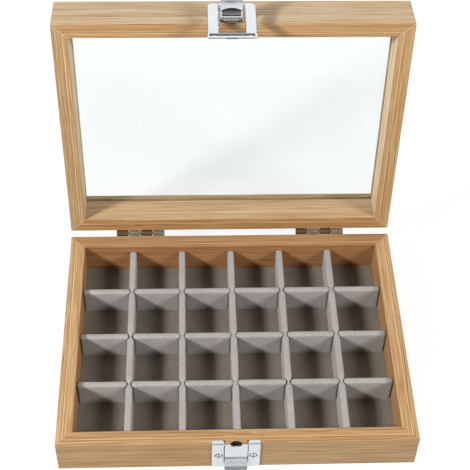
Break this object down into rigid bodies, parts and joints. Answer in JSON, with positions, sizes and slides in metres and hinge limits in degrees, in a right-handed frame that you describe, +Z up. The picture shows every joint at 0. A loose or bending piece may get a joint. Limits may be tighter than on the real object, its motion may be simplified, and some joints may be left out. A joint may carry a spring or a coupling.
{
  "type": "jewelry box",
  "caption": "Shallow wooden jewelry box with a velvet-lined divided tray, a hinged lid with a clear pane and a draw latch.",
  "frame": {"origin": "middle of the tray's underside", "axes": "+X to the right along the front, +Y from the front to the hinges, +Z up"},
  "size_m": [0.2, 0.1973, 0.1974],
  "materials": {
    "wood": "satin",
    "panel": "matte",
    "grey_velvet": "pile",
    "dark_velvet": "pile",
    "glass": "clear",
    "hinge_steel": "satin",
    "screw_steel": "satin",
    "chrome": "polished"
  },
  "bodies": {
    "tray": {"tray_front_wall": "wood", "tray_back_wall": "wood", "tray_left_wall": "wood", "tray_right_wall": "wood", "tray_bottom_panel": "panel", "tray_floor_lining": "dark_velvet", "column_divider_1": "grey_velvet", "column_divider_2": "grey_velvet", "column_divider_3": "grey_velvet", "column_divider_4": "grey_velvet", "column_divider_5": "grey_velvet", "row_divider_1": "grey_velvet", "row_divider_2": "grey_velvet", "row_divider_3": "grey_velvet", "hinge_tray_leaf_left": "hinge_steel", "hinge_tray_leaf_right": "hinge_steel", "hinge_pin_left": "hinge_steel", "hinge_pin_right": "hinge_steel", "hinge_tray_screws": "screw_steel", "catch_screws": "screw_steel", "catch_plate": "chrome"},
    "lid": {"lid_front_wall": "wood", "lid_back_wall": "wood", "lid_left_wall": "wood", "lid_right_wall": "wood", "lid_pane": "glass", "hinge_lid_leaf_left": "hinge_steel", "hinge_lid_leaf_right": "hinge_steel", "hinge_lid_screws": "screw_steel", "latch_base_screws": "screw_steel", "latch_base": "chrome", "latch_lever_pin": "chrome"},
    "latch_lever": {"latch_lever": "chrome"},
    "latch_frame": {"latch_frame": "chrome", "latch_frame_pin": "chrome"}
  },
  "joints": [
    {"name": "lid_hinge", "type": "hinge", "parent": "tray", "child": "lid", "pos_m": [0, 0.0782, 0.02415], "axis": [1, 0, 0], "range_deg": [0, 95.5]},
    {"name": "latch_lever_pivot", "type": "hinge", "parent": "lid", "child": "latch_lever", "pos_m": [-0.0016, 0.09653, 0.17956], "axis": [-1, 0, 0], "range_deg": [0, 90]},
    {"name": "latch_frame_pivot", "type": "hinge", "parent": "latch_lever", "child": "latch_frame", "pos_m": [-0.0016, 0.09707, 0.18513], "axis": [1, 0, 0], "range_deg": [0, 78.21]}
  ],
  "couplings": [
    {"joint": "latch_frame_pivot", "follows": "latch_lever_pivot", "ratio": 0.86843}
  ]
}
